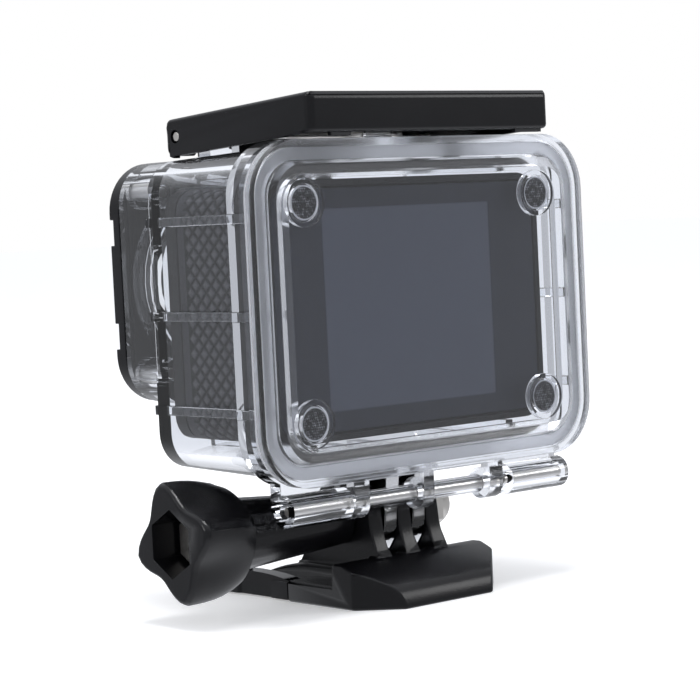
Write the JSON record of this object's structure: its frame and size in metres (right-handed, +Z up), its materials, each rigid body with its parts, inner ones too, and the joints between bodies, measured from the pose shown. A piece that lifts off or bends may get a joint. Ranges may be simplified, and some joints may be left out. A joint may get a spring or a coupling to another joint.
{
  "type": "action camera",
  "caption": "Action camera in a clear diving case with a hinged rear door, a black top latch and a quick-release buckle on a thumb screw.",
  "frame": {"origin": "on the buckle's flat underside, straight below the thumb screw's axis, in the middle of its width", "axes": "+Z up from the buckle's underside, -Y is where the lens looks, +Y is the screen and door side, +X is the side of the thumb screw's knob"},
  "size_m": [0.0793, 0.0445, 0.0816],
  "materials": {
    "clear_case": "clear polished polycarbonate",
    "port_glass": "clear flat glass",
    "black_plastic": "satin black moulded plastic",
    "rubber": "matt black silicone rubber",
    "clear_rubber": "milky silicone rubber",
    "steel": "plain stainless steel",
    "camera_shell": "dark grey plastic with a fine diamond grip pattern",
    "dark_glass": "dark tinted glass",
    "screen": "unlit grey display",
    "circuit_board": "green solder mask",
    "battery": "blue shrink sleeve"
  },
  "bodies": {
    "mount": {"buckle": "black_plastic", "acorn_nut": "steel"},
    "arm_left": {"buckle_arm_left": "black_plastic"},
    "arm_right": {"buckle_arm_right": "black_plastic"},
    "thumb_screw": {"thumb_screw_handle": "black_plastic", "thumb_screw_bolt": "steel"},
    "case": {"case_body": "clear_case", "port_glass": "port_glass", "port_seal": "rubber", "front_plate": "black_plastic", "plate_screw_1": "steel", "plate_screw_2": "steel", "plate_screw_3": "steel", "plate_screw_4": "steel", "hinge_pin": "steel", "latch_pin": "steel", "camera_rear_cover": "camera_shell", "screen_glass": "dark_glass", "lcd_panel": "screen", "camera_frame": "camera_shell", "camera_front_cover": "camera_shell", "lens_barrel": "black_plastic", "lens_glass": "dark_glass", "circuit_board": "circuit_board", "battery": "battery", "battery_door": "camera_shell", "shutter_spring": "steel", "power_spring": "steel", "up_spring": "steel", "down_spring": "steel"},
    "door": {"case_door": "clear_case", "door_gasket": "clear_rubber", "door_pad_1": "rubber", "door_pad_2": "rubber", "door_pad_3": "rubber", "door_pad_4": "rubber"},
    "latch": {"latch_lever": "black_plastic"},
    "shutter_plunger": {"shutter_plunger": "black_plastic", "shutter_seal": "rubber"},
    "camera_shutter_button": {"camera_shutter_button": "camera_shell"},
    "power_plunger": {"power_plunger": "black_plastic", "power_seal": "rubber"},
    "camera_power_button": {"camera_power_button": "camera_shell"},
    "up_plunger": {"up_plunger": "black_plastic", "up_seal": "rubber"},
    "camera_up_button": {"camera_up_button": "camera_shell"},
    "down_plunger": {"down_plunger": "black_plastic", "down_seal": "rubber"},
    "camera_down_button": {"camera_down_button": "camera_shell"}
  },
  "joints": [
    {"name": "case_tilt", "type": "hinge", "parent": "mount", "child": "case", "pos_m": [0, 0, 0.0132], "axis": [1, 0, 0], "range_deg": [-30, 55]},
    {"name": "thumb_screw_turn", "type": "hinge", "parent": "mount", "child": "thumb_screw", "pos_m": [0, 0, 0.0132], "axis": [1, 0, 0], "continuous": true},
    {"name": "door_hinge", "type": "hinge", "parent": "case", "child": "door", "pos_m": [0, 0.0134, 0.0176], "axis": [-1, 0, 0], "range_deg": [0, 100]},
    {"name": "latch_hinge", "type": "hinge", "parent": "case", "child": "latch", "pos_m": [0, -0.0151, 0.0766], "axis": [1, 0, 0], "range_deg": [0, 90]},
    {"name": "arm_left_squeeze", "type": "hinge", "parent": "mount", "child": "arm_left", "pos_m": [-0.0138, -0.006, 0.002], "axis": [0, 0, 1], "range_deg": [0, 4], "stiffness_Nm_per_rad": 0.5},
    {"name": "arm_right_squeeze", "type": "hinge", "parent": "mount", "child": "arm_right", "pos_m": [0.0138, -0.006, 0.002], "axis": [0, 0, -1], "range_deg": [0, 4], "stiffness_Nm_per_rad": 0.5},
    {"name": "shutter_press", "type": "slide", "parent": "case", "child": "shutter_plunger", "axis": [0, 0, -1], "range_m": [0, 0.0009], "stiffness_N_per_m": 400, "deforming": ["shutter_spring"]},
    {"name": "camera_shutter_press", "type": "slide", "parent": "case", "child": "camera_shutter_button", "axis": [0, 0, -1], "range_m": [0, 0.0006], "stiffness_N_per_m": 200},
    {"name": "power_press", "type": "slide", "parent": "case", "child": "power_plunger", "axis": [0, 1, 0], "range_m": [0, 0.0009], "stiffness_N_per_m": 400, "deforming": ["power_spring"]},
    {"name": "camera_power_press", "type": "slide", "parent": "case", "child": "camera_power_button", "axis": [0, 1, 0], "range_m": [0, 0.0006], "stiffness_N_per_m": 200},
    {"name": "up_press", "type": "slide", "parent": "case", "child": "up_plunger", "axis": [1, 0, 0], "range_m": [0, 0.0009], "stiffness_N_per_m": 400, "deforming": ["up_spring"]},
    {"name": "camera_up_press", "type": "slide", "parent": "case", "child": "camera_up_button", "axis": [1, 0, 0], "range_m": [0, 0.0006], "stiffness_N_per_m": 200},
    {"name": "down_press", "type": "slide", "parent": "case", "child": "down_plunger", "axis": [1, 0, 0], "range_m": [0, 0.0009], "stiffness_N_per_m": 400, "deforming": ["down_spring"]},
    {"name": "camera_down_press", "type": "slide", "parent": "case", "child": "camera_down_button", "axis": [1, 0, 0], "range_m": [0, 0.0006], "stiffness_N_per_m": 200}
  ],
  "couplings": [
    {"joint": "camera_shutter_press", "follows": "shutter_press", "ratio": 0.666},
    {"joint": "camera_power_press", "follows": "power_press", "ratio": 0.666},
    {"joint": "camera_up_press", "follows": "up_press", "ratio": 0.666},
    {"joint": "camera_down_press", "follows": "down_press", "ratio": 0.666}
  ]
}
